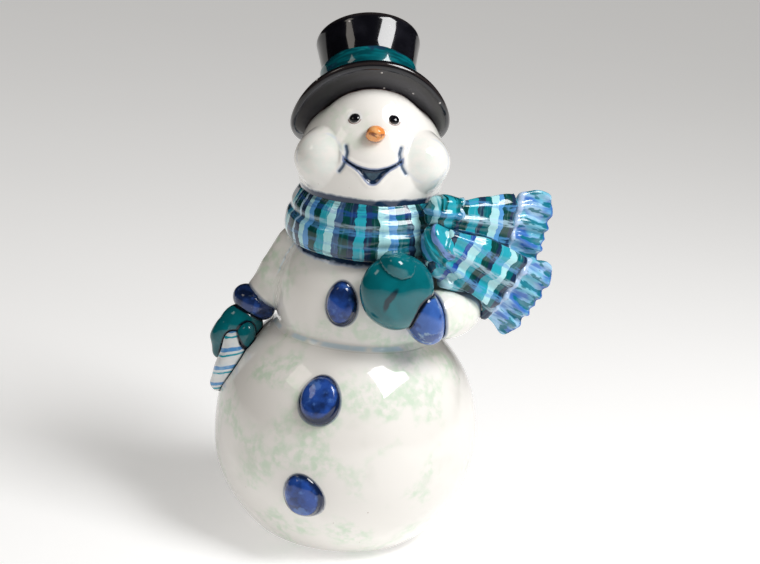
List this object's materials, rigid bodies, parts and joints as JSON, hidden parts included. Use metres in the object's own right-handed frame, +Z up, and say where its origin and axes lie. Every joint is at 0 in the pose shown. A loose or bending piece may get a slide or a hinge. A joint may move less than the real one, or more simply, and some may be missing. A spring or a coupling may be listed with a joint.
{
  "type": "ceramic snowman figure",
  "caption": "Free-standing hollow glazed snowman figure with a tipped-back top hat, a knotted plaid scarf blowing to one side, mittens, a striped cane and egg-shaped buttons.",
  "frame": {"origin": "on the upright axis of the body, in the plane of the flat foot ring", "axes": "+Z up; the buttons face -Y; +X is the figure's own left, where the scarf blows"},
  "size_m": [0.1793, 0.1499, 0.285],
  "materials": {
    "white_glaze": "warm white gloss glaze with sponged pale green patches",
    "white_sleeve": "warm white gloss glaze",
    "black_glaze": "black gloss glaze",
    "teal_band": "teal gloss glaze",
    "teal_mitten": "teal green gloss glaze",
    "blue_cuff": "cobalt gloss glaze",
    "blue_button": "marbled cobalt gloss glaze",
    "plaid": "brush-painted plaid in teal, turquoise and blue under gloss glaze",
    "fringe": "periwinkle blue with teal strokes under gloss glaze",
    "nose_paint": "orange gloss glaze",
    "eye_black": "black gloss glaze",
    "striped_cane": "white gloss glaze with blue and teal cross stripes"
  },
  "bodies": {
    "root": {"lower_body": "white_glaze", "upper_body": "white_glaze", "head": "white_glaze", "nose": "nose_paint", "left_eye": "eye_black", "right_eye": "eye_black", "hat_brim": "black_glaze", "hat_crown": "black_glaze", "hat_band": "teal_band", "scarf_wrap": "plaid", "scarf_knot": "plaid", "scarf_knot_fold": "plaid", "scarf_tail_upper": "plaid", "scarf_tail_lower": "plaid", "scarf_fringe_upper": "fringe", "scarf_fringe_lower": "fringe", "left_arm": "white_sleeve", "left_cuff": "blue_cuff", "left_mitten": "teal_mitten", "left_thumb": "teal_mitten", "right_arm": "white_sleeve", "right_cuff": "blue_cuff", "right_mitten": "teal_mitten", "right_thumb": "teal_mitten", "candy_cane": "striped_cane", "top_button": "blue_button", "middle_button": "blue_button", "bottom_button": "blue_button"}
  },
  "joints": []
}
